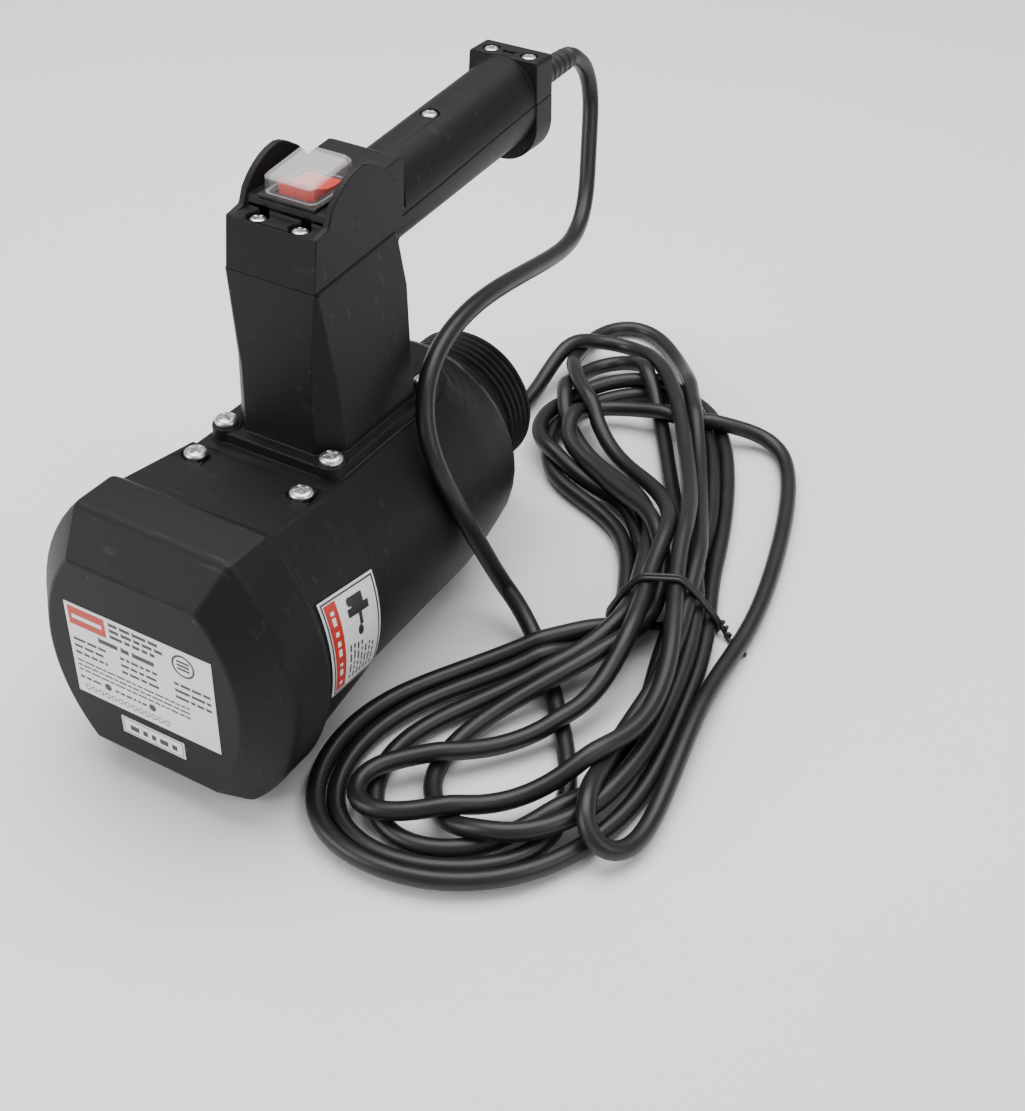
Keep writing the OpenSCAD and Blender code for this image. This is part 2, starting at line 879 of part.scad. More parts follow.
module carbon_brushes()
  color([0.2, 0.2, 0.2])
    laid()
      for (side = [-1, 1])
        translate([side * 23.6, 0, 0])
          block([-7.2, brush_y[0], -4], [7.2, brush_y[1], 4]);

module brush_springs()
  color(steel)
    laid()
      for (side = [-1, 1]) {
        coil = [
          for (k = [0 : 60])
            [side * (31.2 + 9.6 * k / 60), 50 + 2.6 * cos(30 * k), 2.6 * sin(30 * k)]
        ];
        tube(coil, 0.4, 6, [0, 1, 0]);
      }

module armature_shaft()
  color(steel)
    laid()
      turned([
        [0, 19], [journal_r, 19], [journal_r, 33], [shaft_r, 33], [shaft_r, 216], [0, 216]
      ]);

module armature_core()
  color([0.4, 0.4, 0.42])
    laid()
      translate([0, stack_start, 0])
        rotate([-90, 0, 0])
          linear_extrude(stack_len)
            difference() {
              circle(r = armature_r);
              circle(r = shaft_r);
              for (k = [0 : slots - 1])
                rotate(k * 360 / slots)
                  translate([18.5, 0])
                    square([13, 3], center = true);
            }

module armature_windings()
  color(copper)
    laid() {
      turned([
        [shaft_r, 66], [12, 64], [18, 70], [22.5, 78], [22.5, stack_start], [shaft_r, stack_start]
      ]);
      turned([
        [shaft_r, stack_end], [22.5, stack_end], [22.5, stack_end + 7], [18, stack_end + 12],
        [shaft_r, stack_end + 12]
      ]);
      for (k = [0 : slots - 1])
        rotate([0, k * 360 / slots, 0])
          block([12.2, stack_start - tiny, -1.4], [23, stack_end + tiny, 1.4]);
    }

module commutator()
  color(copper)
    laid()
      translate([0, commutator_y[0], 0])
        rotate([-90, 0, 0])
          linear_extrude(commutator_y[1] - commutator_y[0])
            difference() {
              circle(r = 16);
              circle(r = shaft_r);
              for (k = [0 : 2 * slots - 1])
                rotate(k * 180 / slots)
                  translate([15.5, 0])
                    square([2.4, 0.6], center = true);
            }

module cooling_fan()
  color([0.12, 0.12, 0.12])
    laid() {
      turned([
        [shaft_r, fan_y[0]], [12, fan_y[0]], [12, fan_y[1] - 2], [40, fan_y[1] - 2],
        [40, fan_y[1]], [shaft_r, fan_y[1]]
      ]);
      for (k = [0 : fan_blades - 1])
        rotate([0, k * 360 / fan_blades, 0])
          block([11, fan_y[0] + 1, -0.9], [39.5, fan_y[1] - 1.9, 0.9]);
    }

module drive_coupling()
  color([0.25, 0.25, 0.26])
    laid()
      difference() {
        turned([
          [shaft_r, coupling_y[0]], [13, coupling_y[0]], [14.5, coupling_y[0] + 2],
          [14.5, coupling_y[1] - 1.5], [13, coupling_y[1]], [socket_r, coupling_y[1]],
          [socket_r, 218], [2, 218], [2, 216.2], [shaft_r, 216.2]
        ]);
        for (turn = [0, 90])
          rotate([0, turn, 0])
            block([-20, coupling_y[1] - 4, -1.5], [20, coupling_y[1] + 1, 1.5]);
      }

// ---------- lead, hank and plug ----------

module cord_lead()
  color(black)
    on_floor()
      tube(smooth(lead_route, 2), lead_d / 2, 12);

module cord_tail()
  color(black)
    on_floor()
      tube(smooth(tail_route, 2), lead_d / 2, 12, [0, 0, 1]);

module cord_hank_front()
  color(black)
    on_floor()
      translate([0, 0, 0.3])
        linear_extrude(hank_h)
          polygon(hank_front_outline);

module cord_hank_back()
  color(black)
    on_floor()
      translate([0, 0, 0.3])
        linear_extrude(hank_h)
          polygon(hank_back_outline);

module cord_tie()
  color(black)
    on_floor()
      translate([tie_at[0], tie_at[1], 0.3])
        rotate([0, 0, tie_turn])
          difference() {
            translate([-19.5, -2, 0])
              cube([39, 4, hank_h + 2]);
            translate([-17.2, -3, -1])
              cube([34.4, 6, hank_h + 1.2]);
          }

module plug_body()
  color(black)
    on_floor()
      translate([plug_x, 0, plug_z])
        rotate([90, 0, 0]) {
          translate([0, 0, -plug_y[0]])
            linear_extrude(plug_y[0] - plug_y[1])
              offset(r = 6)
                square([15, 12.4], center = true);
          translate([0, 0, -190])
            cylinder(r1 = 5, r2 = 7.5, h = 190 - plug_y[0]);
        }

module plug_blades()
  color(brass)
    on_floor()
      translate([plug_x, plug_y[1], plug_z]) {
        for (x = [-6.35, 6.35])
          block([x - 0.75, -16.5, -1], [x + 0.75, 0, 5.2]);
        translate([0, 0, -7.5])
          rotate([90, 0, 0])
            cylinder(r = 2.4, h = 20);
      }

motor_cap();
cap_screws();
motor_housing();
threaded_flange();
shoulder_screws();
rating_label();
serial_label();
side_label();
stem_gasket();
stem_screws();
handle_lower();
handle_upper();
handle_screws();
switch_body();
switch_bezel();
switch_boot();
switch_rocker();
switch_terminals();
internal_leads();
cord_clamp();
strain_relief();
bearing_bracket();
rear_bearing();
front_bearing();
stator_core();
stator_screws();
field_coils();
brush_holders();
carbon_brushes();
brush_springs();
armature_shaft();
armature_core();
armature_windings();
commutator();
cooling_fan();
drive_coupling();
cord_lead();
cord_hank_front();
cord_hank_back();
cord_tail();
cord_tie();
plug_body();
plug_blades();
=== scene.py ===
import json
import math
import random

import bmesh
import bpy
import numpy as np
from mathutils import Matrix, Vector


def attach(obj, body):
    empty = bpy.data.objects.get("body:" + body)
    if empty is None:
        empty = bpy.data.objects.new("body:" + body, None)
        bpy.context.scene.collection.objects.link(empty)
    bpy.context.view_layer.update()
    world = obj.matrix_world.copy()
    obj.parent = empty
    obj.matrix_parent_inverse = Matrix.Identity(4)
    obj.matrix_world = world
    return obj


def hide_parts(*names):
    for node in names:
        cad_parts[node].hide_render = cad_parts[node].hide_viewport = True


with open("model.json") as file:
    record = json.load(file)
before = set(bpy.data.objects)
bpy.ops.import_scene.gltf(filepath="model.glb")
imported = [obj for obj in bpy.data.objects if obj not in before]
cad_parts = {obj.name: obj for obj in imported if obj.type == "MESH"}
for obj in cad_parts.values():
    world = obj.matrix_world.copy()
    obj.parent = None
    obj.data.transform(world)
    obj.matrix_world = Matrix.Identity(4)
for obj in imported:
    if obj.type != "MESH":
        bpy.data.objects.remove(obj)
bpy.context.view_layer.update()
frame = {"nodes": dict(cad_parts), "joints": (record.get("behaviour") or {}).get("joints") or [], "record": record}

# ---- Where the motor lies ----
# The motor rests on its bumper band and its far shoulder, so its axis dips a little towards the
# neck. The rotor's own joint gives that axis, and every piece of the motor is drawn about it with
# y counted from the cap's flat face.
spin = next(j for j in frame["joints"] if j["name"] == "rotor_spin")
along = Vector(spin["axis"]).normalized()
across = Vector((1, 0, 0))
face_centre = Vector(spin["pos_m"]) - 0.12 * along
laid = Matrix.Translation(face_centre) @ Matrix(
    (across, along, across.cross(along))).transposed().to_4x4()

# ---- Camera, table and studio light ----
# A portrait view down over the cap's right side, on a pale seamless table under one wide overhead
# softbox, with one low on the left that lights the flat face and a weak one on the right.
camera_data = bpy.data.cameras.new("camera")
camera_data.lens = 50.95
camera = bpy.data.objects.new("camera", camera_data)
camera.location = (0.3312, face_centre.y - 0.2949, 0.484)
camera.rotation_euler = (math.radians(49.42), 0, math.radians(29.96))
bpy.context.collection.objects.link(camera)
bpy.context.scene.camera = camera

table_mesh = bpy.data.meshes.new("table")
table_mesh.from_pydata([(-6, -6, -2e-4), (6, -6, -2e-4), (6, 6, -2e-4), (-6, 6, -2e-4)], [],
                       [(0, 1, 2, 3)])
table = bpy.data.objects.new("table", table_mesh)
bpy.context.collection.objects.link(table)


def softbox(name, place, aim, size, power):
    lamp = bpy.data.lights.new(name, "AREA")
    lamp.shape = "RECTANGLE"
    lamp.size, lamp.size_y = size
    lamp.energy = power
    holder = bpy.data.objects.new(name, lamp)
    holder.location = place
    holder.rotation_euler = (Vector(aim) - Vector(place)).to_track_quat("-Z", "Y").to_euler()
    bpy.context.collection.objects.link(holder)


softbox("overhead_box", (-0.1, 0.25, 1.3), (0.02, -0.02, 0.05), (1.6, 1.2), 30)
softbox("left_box", (-0.9, -1.1, 0.75), (0, -0.05, 0.06), (1.0, 0.8), 13)
softbox("right_box", (1.3, -0.2, 0.9), (0.05, 0, 0.06), (0.8, 0.8), 5)
world = bpy.data.worlds.new("room")
bpy.context.scene.world = world
world.use_nodes = True
world.node_tree.nodes["Background"].inputs["Color"].default_value = (1, 1, 1, 1)
world.node_tree.nodes["Background"].inputs["Strength"].default_value = 0.45


# ---- Shader writing ----
# Each finish is written as arithmetic on node sockets. A Field is one socket's value; Finish holds
# one material with its Principled shader.
class Field:
    def __init__(self, finish, socket):
        self.finish, self.socket = finish, socket

    def math(self, operation, *values):
        return self.finish.add("ShaderNodeMath", {"operation": operation}, dict(enumerate(values)))

    def __add__(self, other):
        return self.math("ADD", self, other)

    def __sub__(self, other):
        return self.math("SUBTRACT", self, other)

    def __rsub__(self, other):
        return self.math("SUBTRACT", other, self)

    def __mul__(self, other):
        return self.math("MULTIPLY", self, other)

    __radd__, __rmul__ = __add__, __mul__

    def above(self, edge, soft=0.0):
        return self.finish.add("ShaderNodeMapRange", {"interpolation_type": "SMOOTHSTEP"}, {
            "Value": self, "From Min": edge - soft, "From Max": edge + soft + 1e-6})


class Finish:
    def __init__(self, name, **constants):
        self.material = bpy.data.materials.new(name)
        self.material.use_nodes = True
        self.tree = self.material.node_tree
        self.shader = self.tree.nodes["Principled BSDF"]
        for socket, value in constants.items():
            self.shader.inputs[socket.replace("_", " ")].default_value = value

    def plug(self, socket, value):
        if isinstance(value, Field):
            self.tree.links.new(value.socket, socket)
        else:
            socket.default_value = value

    def add(self, kind, settings=None, inputs=None, output=0):
        node = self.tree.nodes.new(kind)
        for name, value in (settings or {}).items():
            setattr(node, name, value)
        for name, value in (inputs or {}).items():
            self.plug(node.inputs[name], value)
        return Field(self, node.outputs[output])

    def place(self, stretch=(1, 1, 1)):
        spot = self.add("ShaderNodeTexCoord", output="Object")
        return self.add("ShaderNodeMapping", None, {"Vector": spot, "Scale": stretch})

    def noise(self, scale, detail=3.0, stretch=(1, 1, 1), rough=0.5):
        return self.add("ShaderNodeTexNoise", None, {
            "Vector": self.place(stretch), "Scale": scale, "Detail": detail, "Roughness": rough})

    def blend(self, low, high, amount):
        node = self.tree.nodes.new("ShaderNodeMix")
        node.data_type = "RGBA"
        self.plug(node.inputs[0], amount)
        self.plug(node.inputs[6], low if isinstance(low, Field) else (*low, 1))
        self.plug(node.inputs[7], high if isinstance(high, Field) else (*high, 1))
        return Field(self, node.outputs[2])

    def relief(self, height, depth, strength=1.0):
        bump = self.add("ShaderNodeBump", None, {
            "Height": height, "Distance": depth, "Strength": strength})
        self.plug(self.shader.inputs["Normal"], bump)

    def set(self, **fields):
        for name, value in fields.items():
            self.plug(self.shader.inputs[name.replace("_", " ")], value)
        return self


table_paint = Finish("table_paint", Roughness=0.6)
table_paint.set(Base_Color=table_paint.blend((0.86, 0.86, 0.87), (0.9, 0.9, 0.9),
                                             table_paint.noise(6)))
table_mesh.materials.append(table_paint.material)

# ---- Mains lead ----
# A heavy round three-core lead with a smooth black jacket. It leaves the strain relief, drops in a
# slack bight to the flange at the tower's foot, slides down the housing and runs into a hank of
# peanut-shaped turns, and its far end passes under the neck to the plug behind the motor.
lead_d = 0.008
lead_route = [
    (0, 322, 184.1), (0, 332.4, 183.6), (0, 342, 182), (0.4, 350, 176.5), (1.4, 354, 168),
    (3, 352.5, 157), (6, 345, 145), (9.5, 337, 133), (13.5, 330, 121.5), (17.5, 320, 112),
    (21, 305, 108), (24, 288, 110.5), (26, 266, 116), (28, 240, 123), (29, 213, 129),
    (30, 187, 132), (31.5, 162, 129), (34.5, 146, 121), (40, 136, 109), (48, 131, 96),
    (55, 134, 79), (58.5, 140, 62), (61, 147, 45), (64, 153, 28), (70, 157, 14), (80, 154, 6),
    (94, 145, 4.6)]
tail_route = [
    (-1, 300, 4.6), (-6, 282, 4.4), (-16, 262, 4.4), (-30, 248, 4.4), (-48, 241, 4.4),
    (-68, 234, 4.6), (-83, 221, 7), (-88, 204, 12), (-88, 190, 13)]
# Each half turn of the hank: where it then passes the tie, in millimetres right of the tie's
# middle, or None where it stays outside the tie, and its route over the table.
tie_at = np.array((133.0, 186.0))
tie_along = np.array((-0.39, 0.92))
tie_across = np.array((0.92, 0.39))
half_turns = [
    (-13, [(112, 120), (134, 94), (152, 68), (152, 44), (134, 22), (114, 11), (94, 6), (78, 8),
              (64, 17), (56, 32), (52, 48), (53, 66), (60, 86), (76, 106), (98, 130)]),
    (13, [(107, 207), (101, 224), (90, 239), (66, 243), (42, 249), (20, 268), (14, 298),
             (24, 326), (38, 345), (56, 353), (80, 347), (99, 327), (118, 284), (133, 230)]),
    (-4.5, [(158, 150), (166, 118), (169, 86), (165, 56), (154, 33), (137, 17), (117, 7),
               (97, 3), (77, 3), (61, 10), (51, 26), (48, 46), (50, 70), (60, 97), (76, 121),
               (98, 142), (116, 158)]),
    (4.5, [(113, 212), (104, 230), (86, 249), (70, 253), (47, 254), (28, 259), (16, 273),
              (12, 293), (19, 315), (28, 334), (40, 347), (54, 353), (71, 349), (89, 330),
              (108, 291), (128, 238)]),
    (-13, [(156, 128), (160, 92), (151, 56), (132, 31), (111, 19), (95, 15), (81, 21), (70, 36),
              (66, 54), (70, 75), (87, 101), (108, 126)]),
    (13, [(114, 214), (106, 230), (94, 248), (77, 263), (58, 267), (38, 277), (20, 297),
             (9, 322), (9, 346), (16, 362), (28, 366), (40, 357), (55, 337), (76, 306), (104, 262),
             (130, 222)]),
    (-4.5, [(157, 142), (161, 108), (160, 80), (155, 56), (146, 40), (132, 31), (115, 29),
               (100, 36), (89, 48), (85, 64), (88, 83), (100, 106), (118, 134)]),
    (None, [(116, 216), (100, 237), (80, 250), (56, 257), (32, 268), (18, 288), (26, 311),
               (52, 321), (80, 316), (99, 322), (112, 338), (126, 341), (139, 319), (152, 281),
               (163, 236), (169, 200), (168, 172), (166, 146), (170, 118), (178, 90), (182, 64),
               (177, 44), (165, 39), (157, 52), (155, 76), (158, 106), (154, 140)]),
    (-8.5, [(132, 216), (119, 250), (102, 287), (82, 326), (61, 361), (38, 390), (19, 404),
               (5, 402), (-4, 387), (-5, 365), (3, 338), (19, 314), (38, 295), (61, 278),
               (84, 268), (101, 254), (114, 232)]),
    (4, [(131, 148), (133, 116), (120, 90), (103, 72), (84, 58), (68, 44), (61, 29), (70, 17),
            (86, 18), (104, 32), (123, 48), (140, 64), (156, 83), (163, 106), (156, 140)]),
    (None, [(126, 226), (112, 256), (94, 290), (76, 320), (54, 348), (32, 368), (14, 376),
               (2, 366), (-4, 345), (-3, 322)]),
]


def smooth_curve(points, steps):
    p = np.vstack([2 * points[0] - points[1], points, 2 * points[-1] - points[-2]])
    t = np.arange(steps)[:, None] / steps
    spans = [0.5 * (2 * b + (c - a) * t + (2 * a - 5 * b + 4 * c - d) * t ** 2
                    + (3 * b - a - 3 * c + d) * t ** 3)
             for a, b, c, d in zip(p, p[1:], p[2:], p[3:])]
    return np.vstack([*spans, points[-1:]])


def even_steps(points, step):
    run = np.concatenate([[0], np.cumsum(np.linalg.norm(np.diff(points, axis=0), axis=1))])
    at = np.linspace(0, run[-1], int(round(run[-1] / step)) + 1)
    return np.stack([np.interp(at, run, points[:, k]) for k in range(3)], axis=1)


def eased(points, limit, reaches, gain):
    """One step of fairing, which also opens bends tighter than the limit radius."""
    step = np.zeros_like(points)
    step[1:-1] = 0.3 * (0.5 * (points[:-2] + points[2:]) - points[1:-1])
    for k in reaches:
        sag = 0.5 * (points[:-2 * k] + points[2 * k:]) - points[k:-k]
        size = np.linalg.norm(sag, axis=1, keepdims=True) + 1e-9
        over = gain * np.maximum(size - (k * strand_step) ** 2 / (2 * limit), 0) / size * sag
        step[k:-k] += over
        step[:-2 * k] -= 0.5 * over
        step[2 * k:] -= 0.5 * over
    return step


strand_step = 6.0
hank_plan = []
for offset, half_turn in half_turns:
    hank_plan += half_turn
    heading = 1 if half_turn[-1][1] < tie_at[1] else -1
    if offset is not None:
        hank_plan += [tuple(tie_at + offset * tie_across + heading * reach * tie_along)
                      for reach in (-14, 0, 14)]
lead_line = even_steps(smooth_curve(np.array(lead_route, float), 12), strand_step)
tail_line = even_steps(smooth_curve(np.array(tail_route, float), 12), strand_step)
hank_points = [lead_route[-1], *[(x, y, 4.4) for x, y in hank_plan], tail_route[0]]
hank_line = even_steps(smooth_curve(np.array(hank_points, float), 12), strand_step)

# The hanging part eases into bends that its stiffness allows.
lead_home = lead_line.copy()
for sweep in range(150):
    move = 0.04 * (lead_home - lead_line) + eased(lead_line, 32, (3,), 0.35)
    move[:3] = 0
    move[-3:] = 0
    lead_line += move

line = np.vstack([lead_line, hank_line[1:-1], tail_line])
order = np.arange(len(line))
held = (order < len(lead_line) - 6) | (order >= len(line) - len(tail_line) + 3)
free = ~held[:, None]
apart = np.abs(np.subtract.outer(order, order)) > 5

# Seen from above, tight bends open and strands that run side by side keep a diameter apart. Each
# distance is in millimetres, between the middles of two strands or from one to the table.
side_gap, crossing_gap, relaxed_gap = 8.3, 8.25, 8.1
resting_height, lowest_height = 4.3, 4.2
plan_home = line[:, :2].copy()
plan = plan_home.copy()
for sweep in range(240):
    heading = np.zeros_like(plan)
    heading[1:-1] = plan[2:] - plan[:-2]
    heading /= np.linalg.norm(heading, axis=1, keepdims=True) + 1e-9
    gap = plan[:, None, :] - plan[None, :, :]
    far = np.sqrt((gap ** 2).sum(-1)) + 1e-9
    close = (far < side_gap) & apart & (np.abs(heading @ heading.T) > 0.9)
    push = np.where(close, np.minimum((side_gap - far) / far, 3), 0)[..., None] * gap
    stretch = np.diff(plan, axis=0)
    length = np.linalg.norm(stretch, axis=1, keepdims=True) + 1e-9
    pull = 0.25 * (length - strand_step) / length * stretch
    move = 0.03 * (plan_home - plan) + eased(plan, 28, (2, 4), 0.3)
    move += 0.12 * push.sum(1) / np.maximum(close.sum(1), 1)[:, None]
    move[:-1] += pull
    move[1:] -= pull
    plan += free * move

# Then each strand is laid over those below it, in the order in which the hank was wound.
gap = np.sqrt(((plan[:, None, :] - plan[None, :, :]) ** 2).sum(-1))
rise = np.sqrt(np.maximum(crossing_gap ** 2 - gap ** 2, 0))
height = line[:, 2].copy()
hanging = (order < len(lead_line)) & (height > 50)
under = (np.subtract.outer(order, order) > 5) & (gap < crossing_gap) & ~hanging[None, :]
hump = np.exp(-0.5 * (np.arange(-9, 10) * strand_step / 17) ** 2)
hump /= hump.sum()
ground = np.where(held, height, resting_height)
for sweep in range(26):
    need = np.maximum(np.where(under, height[None, :] + rise, 0).max(1), ground)
    wide = np.maximum(need, np.maximum(np.roll(need, 1), np.roll(need, -1)))
    eased_height = np.convolve(np.pad(wide, 9, mode="edge"), hump, "valid")
    height = np.where(held, height, np.maximum(eased_height, ground))
need = np.where(under, height[None, :] + rise, 0).max(1)
line = np.column_stack([plan, np.where(held, height, np.maximum(height, need))])

# Last, the whole hank relaxes against itself and the table.
line_home = line.copy()
for sweep in range(80):
    gap = line[:, None, :] - line[None, :, :]
    far = np.sqrt((gap ** 2).sum(-1)) + 1e-9
    close = (far < relaxed_gap) & apart
    push = np.where(close, (relaxed_gap - far) / far, 0)[..., None] * gap
    most = np.abs(push).max(1)
    move = 0.04 * (line_home - line) + eased(line, 27, (1, 2, 3), 0.25)
    move += 0.5 * np.clip(push.sum(1), -most, most)
    line += free * move
    line[:, 2] = np.where(held, line[:, 2], np.maximum(line[:, 2], lowest_height))
line = even_steps(smooth_curve(line, 3), 3.5)

# The routes count y from the motor's cap, which lies this far ahead of the object's middle.
cap_ahead = 0.16516


def table_metres(points):
    return np.asarray(points, float) / 1000 - np.array((0, cap_ahead, 0))


lead_points = table_metres(line)
lead_curve = bpy.data.curves.new("mains_lead", "CURVE")
lead_curve.dimensions = "3D"
lead_curve.bevel_depth = lead_d / 2
lead_curve.bevel_resolution = 5
lead_curve.use_fill_caps = True
spline = lead_curve.splines.new("POLY")
spline.points.add(len(lead_points) - 1)
for point, spot in zip(spline.points, lead_points):
    point.co = (*spot, 1)
spline.use_smooth = True
mains_lead = bpy.data.objects.new("mains_lead", lead_curve)
bpy.context.collection.objects.link(mains_lead)

jacket = Finish("lead_jacket", Specular_IOR_Level=0.42)
scuff = jacket.noise(60, 4)
jacket.set(Base_Color=jacket.blend((0.006, 0.006, 0.0065), (0.014, 0.014, 0.0145), scuff),
           Roughness=0.3 + 0.16 * scuff)
jacket.relief(jacket.noise(900, 2), 0.00004)
lead_curve.materials.append(jacket.material)
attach(mains_lead, "motor_head")
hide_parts("cord_lead", "cord_hank_front", "cord_hank_back", "cord_tail")

# ---- Twist tie ----
# A plastic-covered wire passed twice round the waist of the hank and twisted off at its right
# side. Its path hugs the strands that lie in it.
tie_normal = tie_along / np.linalg.norm(tie_along)
tie_side = np.array((tie_normal[1], -tie_normal[0]))
waist = []
for a, b in zip(line, line[1:]):
    before, after = ((p[:2] - tie_at) @ tie_normal for p in (a, b))
    crossing = a + (b - a) * before / (before - after) if before * after <= 0 else a
    side = (crossing[:2] - tie_at) @ tie_side
    if before * after <= 0 and abs(side) < 21:
        waist.append((side, crossing[2]))
outline = sorted((side + 5.1 * math.cos(t), max(height + 5.1 * math.sin(t), 1.2))
                 for side, height in waist for t in np.linspace(0, 2 * math.pi, 24))


def lower_chain(points):
    chain = []
    for p in points:
        while len(chain) > 1 and ((chain[-1][0] - chain[-2][0]) * (p[1] - chain[-2][1])
                                  <= (chain[-1][1] - chain[-2][1]) * (p[0] - chain[-2][0])):
            chain.pop()
        chain.append(p)
    return chain[:-1]


hull = lower_chain(outline) + lower_chain(outline[::-1])
wire_width = 2.3
wraps = []
for turn in range(2):
    for k, (side, height) in enumerate(hull):
        drift = wire_width * (turn + k / len(hull)) - wire_width
        spot = tie_at + side * tie_side + drift * tie_normal
        wraps.append((spot[0], spot[1], height))
wraps.append((*(tie_at + hull[0][0] * tie_side + wire_width * tie_normal), hull[0][1]))


def rod(shape, path, radius, sides=8):
    path = [Vector(p) for p in path]
    guide = Vector((0.3, 0.2, 1))
    rings = []
    for i, spot in enumerate(path):
        heading = (path[min(i + 1, len(path) - 1)] - path[max(i - 1, 0)]).normalized()
        guide = (guide - heading * guide.dot(heading)).normalized()
        other = heading.cross(guide)
        rings.append([shape.verts.new(spot + radius * (math.cos(t) * guide + math.sin(t) * other))
                      for t in np.arange(sides) * 2 * math.pi / sides])
    for low, high in zip(rings, rings[1:]):
        for k in range(sides):
            shape.faces.new((low[k], low[(k + 1) % sides], high[(k + 1) % sides], high[k]))
    shape.faces.new(rings[0][::-1])
    shape.faces.new(rings[-1])


def finished(name, shape, finish, body="motor_head", replaces=(), smooth=True):
    bmesh.ops.recalc_face_normals(shape, faces=shape.faces)
    mesh = bpy.data.meshes.new(name)
    shape.to_mesh(mesh)
    shape.free()
    mesh.polygons.foreach_set("use_smooth", [smooth] * len(mesh.polygons))
    for one in finish if isinstance(finish, list) else [finish]:
        mesh.materials.append(one.material)
    piece = bpy.data.objects.new(name, mesh)
    bpy.context.collection.objects.link(piece)
    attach(piece, body)
    if replaces:
        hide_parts(*replaces)
    return piece


tie_black = Finish("tie_black", Roughness=0.42)
tie_black.set(Base_Color=tie_black.blend((0.008, 0.008, 0.009), (0.02, 0.02, 0.021),
                                         tie_black.noise(300)))
tie_black.relief(tie_black.noise(1500), 0.00003)
tie_shape = bmesh.new()
rod(tie_shape, table_metres(even_steps(np.array(wraps), 2.0)), 0.0011)
right = max(hull)
knot = tie_at + (right[0] + 0.5) * tie_side
for phase in (0, math.pi):
    twist = [(knot[0] + 1.1 * math.cos(phase + 0.9 * s) + 0.75 * s * tie_side[0],
              knot[1] - 0.75 * s * 0.5 + 0.6 * math.sin(phase + 0.9 * s),
              max(right[1] + 1.5 - 0.05 * s * s + 1.1 * math.sin(phase + 0.9 * s), 1.3))
             for s in np.arange(0, 24, 0.5)]
    rod(tie_shape, table_metres(twist), 0.001)
twist_tie = finished("twist_tie", tie_shape, tie_black, replaces=["cord_tie"])

# ---- Shell mouldings ----
# The cap, housing, tower and grip are injection moulded in black glass-filled plastic with a fine
# grain, and every outside corner has a small radius from the mould.
plastic = Finish("grained_plastic", IOR=1.46, Specular_IOR_Level=0.2)
grain = plastic.noise(2600, 2)
patches = plastic.noise(14, 4)
rubs = plastic.noise(55, 5, (1, 7, 2.5)).above(0.67, 0.05)
scratches = plastic.noise(190, 3, (1, 14, 1)).above(0.74, 0.02)
shade = plastic.blend((0.0065, 0.0065, 0.007), (0.0125, 0.0125, 0.013), patches)
shade = plastic.blend(shade, (0.03, 0.03, 0.031), 0.45 * rubs)
shade = plastic.blend(shade, (0.075, 0.075, 0.075), 0.5 * scratches)
plastic.set(Base_Color=shade, Roughness=0.4 + 0.13 * patches - 0.05 * rubs + 0.05 * grain)
plastic.relief(grain + 0.5 * plastic.noise(900, 2), 0.00006, 0.7)


def moulding(name, node, finish, edge, body="motor_head", crease=12, weld_angle=0.8,
             clamp=True):
    shape = bmesh.new()
    shape.from_mesh(frame["nodes"][node].data)
    bmesh.ops.remove_doubles(shape, verts=shape.verts, dist=2e-5)
    bmesh.ops.dissolve_limit(shape, angle_limit=math.radians(weld_angle), verts=shape.verts,
                             edges=shape.edges)
    piece = finished(name, shape, finish, body, [node])
    rounding = piece.modifiers.new("rounded_edges", "BEVEL")
    rounding.width = edge
    rounding.segments = 3
    rounding.limit_method = "ANGLE"
    rounding.angle_limit = math.radians(crease)
    rounding.use_clamp_overlap = clamp
    rounding.miter_outer = "MITER_ARC"
    evened = piece.modifiers.new("even_shading", "WEIGHTED_NORMAL")
    evened.keep_sharp = True
    return piece


moulding("cap_shell", "motor_cap", plastic, 0.0012, crease=14, clamp=False)
moulding("housing_shell", "motor_housing", plastic, 0.0008, crease=24,
         weld_angle=0.02)
moulding("tower_shell", "handle_lower", plastic, 0.0006, clamp=False)
moulding("switch_deck_shell", "handle_upper", plastic, 0.0006, clamp=False)

rubber = Finish("foot_rubber", Roughness=0.62)
rubber.set(Base_Color=rubber.blend((0.008, 0.008, 0.008), (0.018, 0.018, 0.018), rubber.noise(120)))
rubber.relief(rubber.noise(1400), 0.00005)
moulding("foot_gasket", "stem_gasket", rubber, 0.0003)

# ---- Threaded neck ----
# The pump tube's ring nut screws onto this neck: a right-hand trapezoidal thread moulded on the
# outside, a stepped register in the mouth, and an inner flange that holds the front bearing.
crest, depth, pitch, thread_end = 34.5, 1.9, 4.0, 239.5
thread_start = thread_end - 5 * pitch
around = 96
walls = [(8, 184, 0), (44.9, 184, 0), (44.9, 189.9, 0), (35.9, 189.9, 0), (35.9, 199.6, 0),
         (33.4, 200.6, 0), (crest - depth, 201.8, 0)]
walls += [(crest - depth, y, 1) for y in np.arange(thread_start - 3, thread_end - 0.4, 0.25)]
walls += [(crest - depth, thread_end - 0.3, 0), (crest - depth - 0.4, thread_end, 0),
          (29.9, thread_end, 0), (29.5, thread_end - 0.4, 0), (29.5, 233.5, 0), (28, 233.5, 0),
          (28, 204, 0), (16, 204, 0), (16, 189.95, 0), (8, 189.95, 0)]
neck = bmesh.new()
rings = []
for radius, y, threaded in walls:
    ring = []
    for k in range(around):
        turn = 2 * math.pi * k / around
        ridge = abs(((y - thread_start) / pitch + k / around) % 1 - 0.5) * 2
        ends = min(1, max(0, (y - thread_start + 2.4) / 1.5), max(0, (thread_end - 0.5 - y) / 1.2))
        lift = threaded * depth * min(1, max(0, (0.86 - ridge) / 0.5)) * max(0, ends)
        ring.append(neck.verts.new(laid @ Vector((
            (radius + lift) * math.sin(turn) / 1000, y / 1000,
            (radius + lift) * math.cos(turn) / 1000))))
    rings.append(ring)
